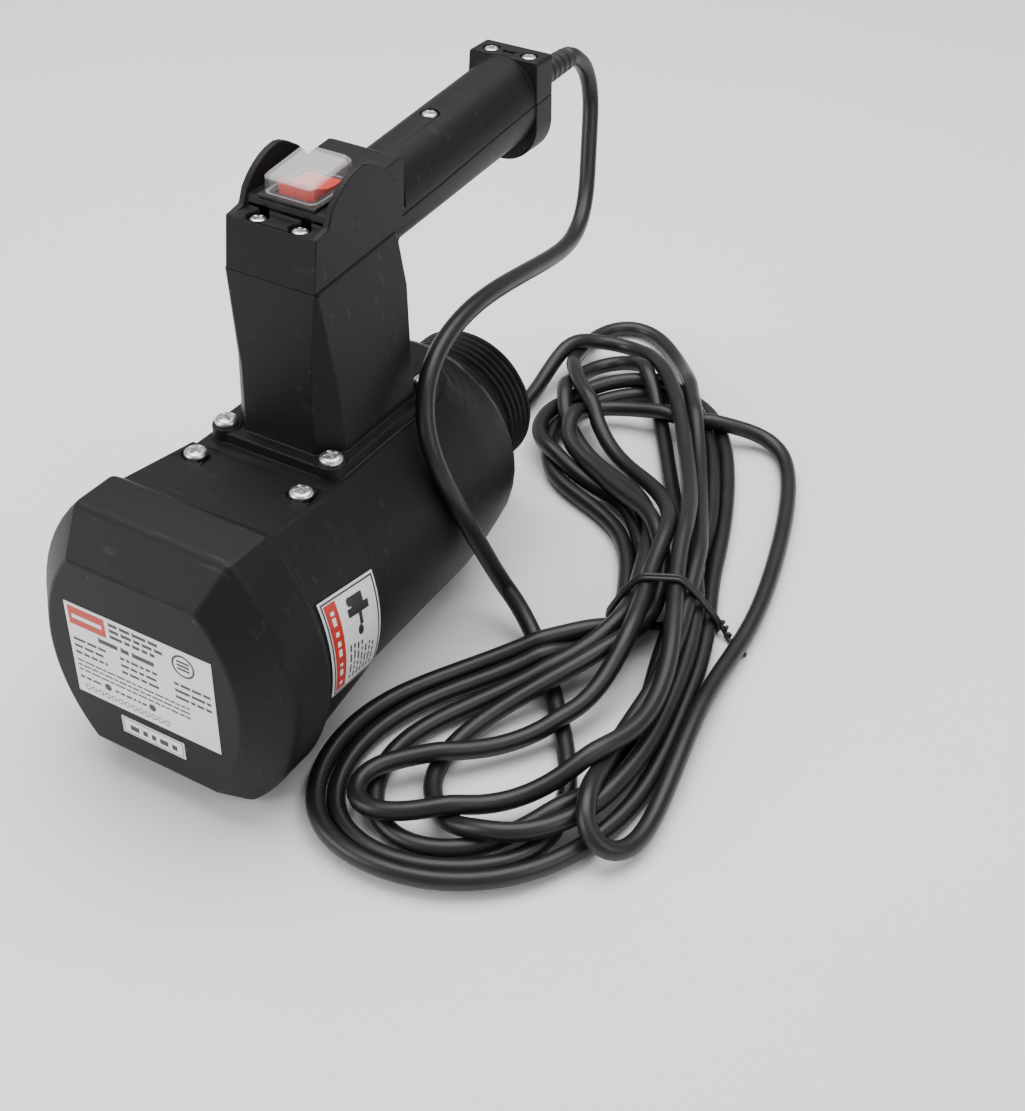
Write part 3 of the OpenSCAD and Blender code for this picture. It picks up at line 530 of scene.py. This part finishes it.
for low, high in zip(rings, rings[1:] + rings[:1]):
    for k in range(around):
        neck.faces.new((low[k], low[(k + 1) % around], high[(k + 1) % around], high[k]))
neck_piece = finished("threaded_neck", neck, plastic, replaces=["threaded_flange"])
neck_piece.data.set_sharp_from_angle(angle=math.radians(38))

# ---- Screws ----
# Pan-head thread-forming screws in bright zinc, with a cross recess. One head is turned and
# punched here, and a node tree sets a copy on every seat at its own turn.
zinc = Finish("bright_zinc", Metallic=1.0)
haze = zinc.noise(260, 4)
tarnish = zinc.noise(90, 4).above(0.62, 0.08)
zinc.set(Base_Color=zinc.blend(zinc.blend((0.58, 0.58, 0.57), (0.74, 0.74, 0.72), haze),
                               (0.34, 0.32, 0.28), 0.5 * tarnish),
         Roughness=0.24 + 0.16 * haze + 0.1 * tarnish)
zinc.relief(zinc.noise(900, 3, (1, 1, 6)), 0.00002, 0.6)

blank_shape = bmesh.new()
spokes = 48
head_rings = [(0.4, -2.4), (0.4, -0.02), (0.97, 0), (1.0, 0.05), (1.0, 0.26), (0.97, 0.36),
              (0.92, 0.43), (0.84, 0.5), (0.74, 0.55), (0.66, 0.58), (0.58, 0.595),
              (0.52, 0.605), (0.46, 0.61), (0.4, 0.615), (0.33, 0.62), (0.26, 0.62),
              (0.2, 0.62), (0.14, 0.62), (0.08, 0.62)]
rings = []
for radius, height in head_rings:
    ring = []
    for k in range(spokes):
        x = radius * math.cos(2 * math.pi * k / spokes)
        y = radius * math.sin(2 * math.pi * k / spokes)
        wing = max(0, min(1, (0.15 - min(abs(x), abs(y))) / 0.07))
        reach = max(0, min(1, (0.6 - max(abs(x), abs(y))) / 0.12))
        sunk = 0.42 * wing * reach * (0.55 + 0.45 * reach) if height > 0.5 else 0
        ring.append(blank_shape.verts.new((x, y, height - sunk)))
    rings.append(ring)
for low, high in zip(rings, rings[1:]):
    for k in range(spokes):
        blank_shape.faces.new((low[k], low[(k + 1) % spokes], high[(k + 1) % spokes], high[k]))
blank_shape.faces.new(rings[0][::-1])
blank_shape.faces.new(rings[-1])
blank_mesh = bpy.data.meshes.new("screw_blank")
bmesh.ops.recalc_face_normals(blank_shape, faces=blank_shape.faces)
blank_shape.to_mesh(blank_mesh)
blank_shape.free()
blank = bpy.data.objects.new("screw_blank", blank_mesh)
bpy.context.collection.objects.link(blank)

driven = bpy.data.node_groups.new("driven_screws", "GeometryNodeTree")
driven.is_modifier = True
for kind, title in (("Geometry", "Seats"), ("Object", "Head"), ("Float", "Head radius"),
                    ("Material", "Plating")):
    driven.interface.new_socket(title, in_out="INPUT", socket_type=f"NodeSocket{kind}")
driven.interface.new_socket("Screws", in_out="OUTPUT", socket_type="NodeSocketGeometry")


def tree_node(tree, kind, links=None, **settings):
    node = tree.nodes.new(kind)
    for name, value in settings.items():
        setattr(node, name, value)
    for name, source in (links or {}).items():
        socket = node.inputs[name]
        if isinstance(source, bpy.types.NodeSocket):
            tree.links.new(source, socket)
        else:
            socket.default_value = source
    return node


entry = tree_node(driven, "NodeGroupInput")
aim = tree_node(driven, "GeometryNodeInputNamedAttribute", {"Name": "aim"},
                data_type="FLOAT_VECTOR")
spin_turn = tree_node(driven, "GeometryNodeInputNamedAttribute", {"Name": "turn"},
                      data_type="FLOAT")
facing = tree_node(driven, "FunctionNodeAlignRotationToVector", {"Vector": aim.outputs[0]},
                   axis="Z")
twisted = tree_node(driven, "FunctionNodeAxisAngleToRotation", {"Angle": spin_turn.outputs[0]})
turned_in = tree_node(driven, "FunctionNodeRotateRotation",
                      {0: facing.outputs[0], 1: twisted.outputs[0]}, rotation_space="LOCAL")
model_of = tree_node(driven, "GeometryNodeObjectInfo", {"Object": entry.outputs["Head"]})
set_in = tree_node(driven, "GeometryNodeInstanceOnPoints", {
    "Points": entry.outputs["Seats"], "Instance": model_of.outputs["Geometry"],
    "Rotation": turned_in.outputs[0], "Scale": entry.outputs["Head radius"]})
made_real = tree_node(driven, "GeometryNodeRealizeInstances", {"Geometry": set_in.outputs[0]})
plated = tree_node(driven, "GeometryNodeSetMaterial", {
    "Geometry": made_real.outputs[0], "Material": entry.outputs["Plating"]})
leaving = tree_node(driven, "NodeGroupOutput", {"Screws": plated.outputs[0]})


def plain_mesh(name, points, tree, values):
    """Runs a node tree over a set of points and keeps its result as a plain mesh."""
    seed = bpy.data.meshes.new(name)
    seed.from_pydata([tuple(p["at"]) for p in points], [], [])
    for key, kind, put in (("aim", "FLOAT_VECTOR", "vector"), ("turn", "FLOAT", "value")):
        layer = seed.attributes.new(key, kind, "POINT")
        for item, p in zip(layer.data, points):
            setattr(item, put, p[key])
    piece = bpy.data.objects.new(name, seed)
    bpy.context.collection.objects.link(piece)
    runner = piece.modifiers.new("tree", "NODES")
    runner.node_group = tree
    for item in tree.interface.items_tree:
        if item.in_out == "INPUT" and item.name in values:
            runner[item.identifier] = values[item.name]
    depsgraph = bpy.context.evaluated_depsgraph_get()
    result = bpy.data.meshes.new_from_object(piece.evaluated_get(depsgraph))
    piece.modifiers.clear()
    piece.data = result
    result.name = name
    return piece


def seat(x, y, z, aim_at=(0, 0, 1), turn=0.0):
    return {"at": laid @ (Vector((x, y, z)) / 1000), "aim": laid.to_3x3() @ Vector(aim_at),
            "turn": turn}


screw_sets = {
    "cap_screw_set": ("cap_screws", 0.0048, [
        seat(x, 71, side * 52.05, (0, 0, side), 0.4 + 0.02 * x)
        for x in (-25.5, 25.5) for side in (1, -1)]),
    "foot_screw_set": ("stem_screws", 0.0048, [
        seat(x, y, 56.55, (0, 0, 1), 0.9 + 0.03 * x + 0.01 * y)
        for x in (-25.5, 25.5) for y in (91, 158.5)]),
    "front_deck_screws": ("handle_screws", 0.0034, [
        seat(x, 101, 144.25, (0, 0, 1), 0.3 + 0.05 * x) for x in (-9.5, 9.5)]
        + [seat(0, 204, 151.65, (0, 0, 1), 1.1)]
        + [seat(x, 269.5, 156.85, (0, 0, 1), 0.8 + 0.04 * x) for x in (-9.4, 9.4)]),
    "shoulder_screw_set": ("shoulder_screws", 0.0042, [
        seat(42 * math.sin(math.radians(a)), 194.05, 42 * math.cos(math.radians(a)), (0, 1, 0),
             0.01 * a) for a in (33, 147, 213, 327)])}
for name, (node, radius, seats) in screw_sets.items():
    screws = plain_mesh(name, seats, driven, {
        "Head": blank, "Head radius": radius, "Plating": zinc.material})
    screws.data.polygons.foreach_set("use_smooth", [True] * len(screws.data.polygons))
    screws.data.set_sharp_from_angle(angle=math.radians(34))
    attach(screws, "motor_head")
    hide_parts(node)
bpy.data.objects.remove(blank)

# ---- Labels ----
# Printed white vinyl labels: a rating label and a serial label on the cap's flat face, and a tall
# one round its right side. Their printing is plain bars and blocks that say nothing.
vinyl = Finish("white_vinyl", Roughness=0.32)
soil = vinyl.noise(70, 4)
vinyl.set(Base_Color=vinyl.blend((0.74, 0.74, 0.72), (0.85, 0.85, 0.84), soil),
          Roughness=0.27 + 0.15 * soil)
vinyl.relief(vinyl.noise(500), 0.00002)
for node in ("rating_label", "serial_label", "side_label"):
    frame["nodes"][node].material_slots[0].material = vinyl.material

inks = []
for name, low, high in (("black_ink", (0.010, 0.010, 0.011), (0.03, 0.03, 0.032)),
                        ("red_ink", (0.44, 0.014, 0.008), (0.56, 0.028, 0.016)),
                        ("white_ink", (0.74, 0.74, 0.73), (0.84, 0.84, 0.83))):
    ink = Finish(name, Roughness=0.36)
    wear = ink.noise(420, 4)
    ink.set(Base_Color=ink.blend(low, high, wear), Roughness=0.3 + 0.14 * wear)
    ink.relief(ink.noise(1800), 0.00001)
    inks.append(ink)
BLACK, RED, WHITE = 0, 1, 2


def box_mark(u0, v0, u1, v1, ink=BLACK, tiles=1):
    steps = np.linspace(v0, v1, tiles + 1)
    return [([(u0, a), (u1, a), (u1, b), (u0, b)], ink) for a, b in zip(steps, steps[1:])]


def disc_mark(u, v, radius, ink=BLACK, hole=0.0):
    turns = np.linspace(0, 2 * math.pi, 25)
    rim = [(math.cos(t), math.sin(t)) for t in turns]
    if not hole:
        return [([(u + radius * c, v + radius * s) for c, s in rim[:-1]], ink)]
    return [([(u + hole * a, v + hole * b), (u + radius * a, v + radius * b),
              (u + radius * c, v + radius * d), (u + hole * c, v + hole * d)], ink)
            for (a, b), (c, d) in zip(rim, rim[1:])]


def word_row(u0, u1, v, height, dice, longest=8.0, tall=0.0):
    marks, u = [], u0
    while u < u1 - 1.2:
        end = min(u + dice.uniform(0.3 * longest, longest), u1)
        marks += box_mark(u, v, end, v + height)
        if tall:
            marks += box_mark(u, v + height, min(u + 0.35 * height, end), v + height * (1 + tall))
        u = end + 0.75 * height
    return marks


def printed(name, marks, place):
    """Lays each printed mark on its label as a closed film, thinner than the label."""
    shape = bmesh.new()
    for outline, ink in marks:
        low = [shape.verts.new(place(u, v, 0.0)) for u, v in outline]
        high = [shape.verts.new(place(u, v, 0.05 + 0.03 * (ink == WHITE))) for u, v in outline]
        faces = [low[::-1], high] + [
            (low[k - 1], low[k], high[k], high[k - 1]) for k in range(len(low))]
        for corners in faces:
            shape.faces.new(corners).material_index = ink
    return finished(name, shape, inks, smooth=False)


label_face = -0.2


def on_face(u, v, lift):
    return laid @ (Vector((u, label_face - lift, v)) / 1000)


dice = random.Random(11)
rating = box_mark(-33.5, 13.6, -15.5, 22.6, RED) + box_mark(-31.8, 16.9, -17.2, 18.9, WHITE)
for v, ends in ((20.6, 10), (17.6, 12), (14.6, 8)):
    rating += word_row(-13.5, ends, v, 1.5, dice, 7, 0.25)
rating += word_row(-20, 7, 9.6, 2.1, dice, 12, 0.2)
rating += disc_mark(21.5, 16.5, 5.4, hole=4.5) + box_mark(18.6, 14.4, 24.4, 15.4)
rating += box_mark(18.6, 16.2, 24.4, 17.2) + box_mark(18.6, 18, 24.4, 19)
for v in (5.6, 2.2, -1.2):
    rating += word_row(-33, -17, v, 1.25, dice, 6, 0.2) + word_row(-10, 8, v, 1.25, dice, 5, 0.2)
    rating += word_row(16, 33, v, 1.25, dice, 7, 0.2)
for v in (-5.0, -7.4, -9.8):
    rating += word_row(-33, 22, v, 0.8, dice, 5)
rating += disc_mark(-19, -13.1, 1.7) + disc_mark(3, -13.1, 1.7)
rating += word_row(-33, -22, -13.8, 1.1, dice, 4) + word_row(-15.5, 0, -13.8, 1.1, dice, 3)
for k in range(13):
    rating += disc_mark(-30 + 3.3 * k, -18, 1.35, hole=1.0)
printed("rating_print", rating, on_face)
serial = word_row(-10.5, 12.8, -31.4, 2.6, dice, 5)
serial += box_mark(-13.8, -26.4, 15.8, -26.1) + box_mark(-13.8, -33.4, 15.8, -33.1)
serial += box_mark(-13.8, -33.1, -13.5, -26.4) + box_mark(15.5, -33.1, 15.8, -26.4)
printed("serial_print", serial, on_face)

# The side label follows the cap's tapered wall, whose side is one arc at each end of the taper.
wall_ends = []
for share in (0.04, 0.94):
    y, half_h, flat, half_w = (
        a + share * (b - a) for a, b in zip((39.5, 56.4, 35, 58), (80, 51, 34, 55)))
    spread = half_w - flat
    wall_ends.append((y, half_w, (half_h ** 2 + spread ** 2) / (2 * spread)))
wall_turns = ((-10, 22), (-21, 18))
wall_lift = 0.75


def on_wall(u, v, lift):
    """u runs from the label's front edge to its rear one, v from its foot to its head, 0 to 1."""
    ends = []
    for (y, half_w, radius), (foot, head) in zip(wall_ends, wall_turns):
        turn = math.radians(foot + (head - foot) * v)
        reach = radius + wall_lift + lift
        ends.append(Vector((half_w - radius + reach * math.cos(turn), y, reach * math.sin(turn))))
    return laid @ (ends[0].lerp(ends[1], u) / 1000)


tall = box_mark(0.03, 0.02, 0.05, 0.98, tiles=20) + box_mark(0.95, 0.02, 0.97, 0.98, tiles=20)
tall += box_mark(0.05, 0.02, 0.95, 0.035) + box_mark(0.05, 0.965, 0.95, 0.98)
tall += box_mark(0.07, 0.05, 0.27, 0.95, RED, tiles=18)
for k, length in enumerate((0.05, 0.09, 0.04, 0.1, 0.07, 0.06, 0.11, 0.05)):
    start = 0.1 + 0.105 * k
    tall += box_mark(0.14, start, 0.2, start + length * 0.75, WHITE)
tall += box_mark(0.42, 0.72, 0.8, 0.8) + box_mark(0.5, 0.8, 0.72, 0.9)
tall += box_mark(0.6, 0.6, 0.66, 0.72)
tall += disc_mark(0.6, 0.55, 0.05) + disc_mark(0.48, 0.86, 0.045)
for k in range(7):
    u = 0.36 + 0.078 * k
    v = 0.08
    while v < 0.46 - 0.02 * k:
        end = min(v + dice.uniform(0.03, 0.1), 0.48)
        tall += box_mark(u, v, u + 0.028, end)
        v = end + 0.025
printed("side_print", tall, on_wall)

# ---- Rocker switch ----
# A two-way rocker in a snap-in frame, under a splash boot of clear soft plastic. The boot is
# faintly milky and shows the red rocker through it; its upward-facing top carries a painted sheen.
switch_plastic = Finish("switch_plastic", Roughness=0.4)
switch_plastic.set(Base_Color=switch_plastic.blend(
    (0.009, 0.009, 0.010), (0.02, 0.02, 0.021), switch_plastic.noise(160)))
switch_plastic.relief(switch_plastic.noise(1900), 0.00003)
moulding("switch_frame", "switch_bezel", switch_plastic, 0.0005)
frame["nodes"]["switch_body"].material_slots[0].material = switch_plastic.material

rocker_red = Finish("rocker_red", IOR=1.5)
tone = rocker_red.noise(120, 3)
rocker_red.set(Base_Color=rocker_red.blend((0.6, 0.012, 0.006), (0.74, 0.026, 0.014), tone),
               Roughness=0.28 + 0.12 * tone)
rocker_red.relief(rocker_red.noise(1500), 0.00002)
moulding("rocker_key", "switch_rocker", rocker_red, 0.0006, "rocker", 20)

boot_skin = Finish("clear_boot_skin", IOR=1.42)
cloud = boot_skin.noise(90, 4)
# Painted sheen: faces that point up are made more opaque, so the boot's top shows whiter as if lit from above.
painted_top_sheen = boot_skin.add("ShaderNodeSeparateXYZ", None, {
    "Vector": boot_skin.add("ShaderNodeTexCoord", output="Normal")}, "Z")
boot_skin.set(Base_Color=boot_skin.blend((0.74, 0.73, 0.71), (0.88, 0.87, 0.86), cloud),
              Roughness=0.14 + 0.14 * cloud, Alpha=0.06 + 0.22 * painted_top_sheen.above(0.55, 0.3))
boot_skin.relief(boot_skin.noise(420, 3), 0.00006)
moulding("splash_boot", "switch_boot", boot_skin, 0.0004, crease=20)

# ---- Strain relief ----
# A soft ribbed rubber sleeve that grips the lead where it leaves the hand stop, and thins towards
# its tip so that the lead can't kink there.
sleeve_rubber = Finish("sleeve_rubber", Roughness=0.5)
sleeve_rubber.set(Base_Color=sleeve_rubber.blend(
    (0.007, 0.007, 0.007), (0.017, 0.017, 0.017), sleeve_rubber.noise(150)))
sleeve_rubber.relief(sleeve_rubber.noise(1500), 0.00004)
sleeve_walls = [(0.2, 245), (4.1, 245), (4.1, 257), (5.5, 257), (5.5, 277.1), (7.0, 277.1),
                (7.2, 277.5), (7.2, 279.6), (6.8, 280.1)]
for k in range(8):
    y = 282.0 + 5.1 * k
    wall = 6.6 - 0.2 * k
    sleeve_walls += [(wall, y), (wall, y + 3.2), (wall - 0.9, y + 3.8), (wall - 0.9, y + 4.6)]
sleeve_walls += [(4.9, 323.2), (4.7, 325.2), (4.1, 325.4), (0.2, 325.4)]
sleeve = bmesh.new()
rings = [[sleeve.verts.new(laid @ (Vector((
    r * math.cos(t), y, 139.5 + r * math.sin(t))) / 1000))
    for t in np.arange(40) * 2 * math.pi / 40] for r, y in sleeve_walls]
for low, high in zip(rings, rings[1:]):
    for k in range(40):
        sleeve.faces.new((low[k], low[(k + 1) % 40], high[(k + 1) % 40], high[k]))
sleeve.faces.new(rings[0][::-1])
sleeve.faces.new(rings[-1])
finished("ribbed_sleeve", sleeve, sleeve_rubber,
         replaces=["strain_relief"]).data.set_sharp_from_angle(angle=math.radians(34))

# ---- Plug ----
# A plain moulded plug with two flat pins and a round one, in the same black as the lead.
plug_plastic = Finish("plug_plastic", Roughness=0.4)
plug_plastic.set(Base_Color=plug_plastic.blend(
    (0.009, 0.009, 0.010), (0.022, 0.022, 0.023), plug_plastic.noise(90)))
plug_plastic.relief(plug_plastic.noise(1300), 0.00004)
moulding("plug_shell", "plug_body", plug_plastic, 0.0014, crease=25)
pin_brass = Finish("pin_brass", Metallic=1.0)
smear = pin_brass.noise(200, 4)
pin_brass.set(Base_Color=pin_brass.blend((0.62, 0.46, 0.2), (0.8, 0.64, 0.33), smear),
              Roughness=0.24 + 0.2 * smear)
pin_brass.relief(pin_brass.noise(700), 0.00002)
moulding("plug_pins", "plug_blades", pin_brass, 0.0003, crease=25)

# ---- Inside the motor ----
# The rotor, stator, brush gear and wiring keep their machined shapes, each with its own finish.
inner = {
    "dark_nylon": ((0.02, 0.018, 0.016), (0.04, 0.036, 0.032), 0.5, 0, 300, (1, 1, 1)),
    "lead_insulation": ((0.02, 0.02, 0.022), (0.05, 0.05, 0.052), 0.45, 0, 400, (1, 1, 1)),
    "bearing_steel": ((0.5, 0.5, 0.5), (0.68, 0.68, 0.68), 0.22, 1, 500, (1, 6, 1)),
    "lamination": ((0.16, 0.16, 0.165), (0.34, 0.34, 0.35), 0.4, 1, 900, (0.1, 3, 0.1)),
    "copper": ((0.42, 0.17, 0.07), (0.66, 0.3, 0.13), 0.3, 1, 700, (0.3, 2, 0.3)),
    "carbon": ((0.015, 0.015, 0.016), (0.05, 0.05, 0.052), 0.55, 0, 800, (1, 1, 1)),
    "coupling_steel": ((0.36, 0.36, 0.37), (0.56, 0.56, 0.57), 0.3, 1, 450, (1, 8, 1))}
inner_finishes = {"brass": pin_brass}
for name, (low, high, rough, metal, scale, stretch) in inner.items():
    finish = Finish(name, Metallic=float(metal))
    blur = finish.noise(scale, 4, stretch)
    finish.set(Base_Color=finish.blend(low, high, blur), Roughness=rough + 0.15 * blur)
    finish.relief(blur, 0.00003)
    inner_finishes[name] = finish
for part in frame["record"]["subparts"]:
    node, slot = frame["nodes"][part["node"]], part["material_slot"]
    if not node.hide_render and node.name not in ("rating_label", "serial_label", "side_label",
                                                  "switch_body"):
        finish = inner_finishes.get(slot, inner_finishes["dark_nylon"])
        node.material_slots[0].material = finish.material
